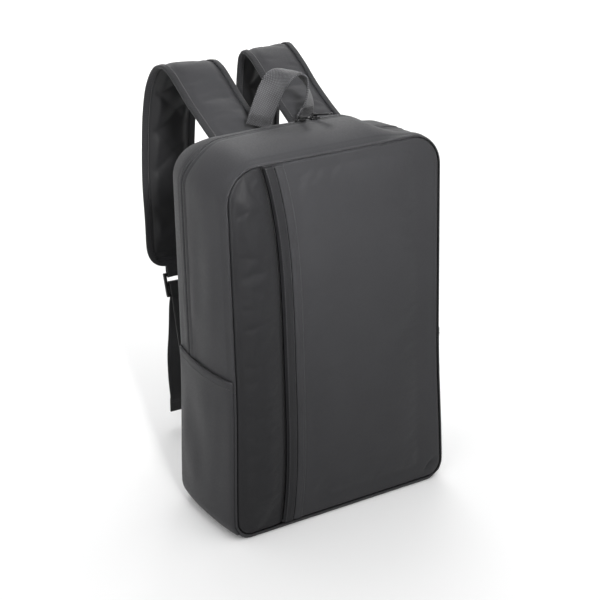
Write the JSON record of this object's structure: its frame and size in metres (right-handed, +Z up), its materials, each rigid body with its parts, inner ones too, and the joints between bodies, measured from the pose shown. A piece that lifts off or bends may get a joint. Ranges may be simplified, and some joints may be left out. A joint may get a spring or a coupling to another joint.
{
  "type": "laptop backpack",
  "caption": "Upright laptop backpack with a curved front zip, a zip over the top, slip side pockets, a webbing handle and padded shoulder straps on ladder locks.",
  "frame": {"origin": "centre of the bottom of the bag, on the floor", "axes": "+Z up, the front of the bag faces -Y, +X is on the right seen from the front, the shoulder straps stand out towards +Y"},
  "size_m": [0.3028, 0.3136, 0.4901],
  "materials": {
    "polyester": "charcoal plain-woven polyester, matt with a soft sheen",
    "dark_polyester": "darker charcoal plain-woven polyester, matt",
    "binding": "woven edge binding tape, matt",
    "lining": "dark brushed lining, matt",
    "webbing": "ribbed grey webbing with light flecks",
    "zip_tape": "woven black zip tape",
    "nylon": "moulded black nylon, satin",
    "black_metal": "die-cast zinc with black enamel, satin"
  },
  "bodies": {
    "root": {"front_panel": "polyester", "front_pocket_panel": "dark_polyester", "front_zip_welt": "dark_polyester", "front_zip_band": "polyester", "front_zip_tape": "zip_tape", "front_zip_coil": "nylon", "gusset_front": "polyester", "gusset_back": "polyester", "gusset_lower": "polyester", "main_zip_tape": "zip_tape", "main_zip_coil": "nylon", "side_pocket_left": "polyester", "side_pocket_right": "polyester", "back_panel": "polyester", "top_handle": "webbing", "zip_slider_left": "black_metal", "zip_slider_right": "black_metal", "strap_pad_left": "polyester", "strap_pad_right": "polyester", "strap_binding_left": "binding", "strap_binding_right": "binding", "strap_lining_left": "lining", "strap_lining_right": "lining", "strap_tab_left": "webbing", "strap_tab_right": "webbing", "strap_lock_left": "nylon", "strap_lock_right": "nylon", "strap_webbing_left": "webbing", "strap_webbing_right": "webbing", "strap_anchor_left": "polyester", "strap_anchor_right": "polyester"},
    "pull_left": {"zip_pull_left": "black_metal"},
    "pull_right": {"zip_pull_right": "black_metal"}
  },
  "joints": [
    {"name": "left_pull_hinge", "type": "hinge", "parent": "root", "child": "pull_left", "pos_m": [0.00101, 0.03657, 0.44442], "axis": [-0.9945, 0.103, -0.0176], "range_deg": [0, 140]},
    {"name": "right_pull_hinge", "type": "hinge", "parent": "root", "child": "pull_right", "pos_m": [0.01928, 0.03656, 0.44432], "axis": [-0.9563, -0.2883, 0.0488], "range_deg": [0, 140]}
  ]
}
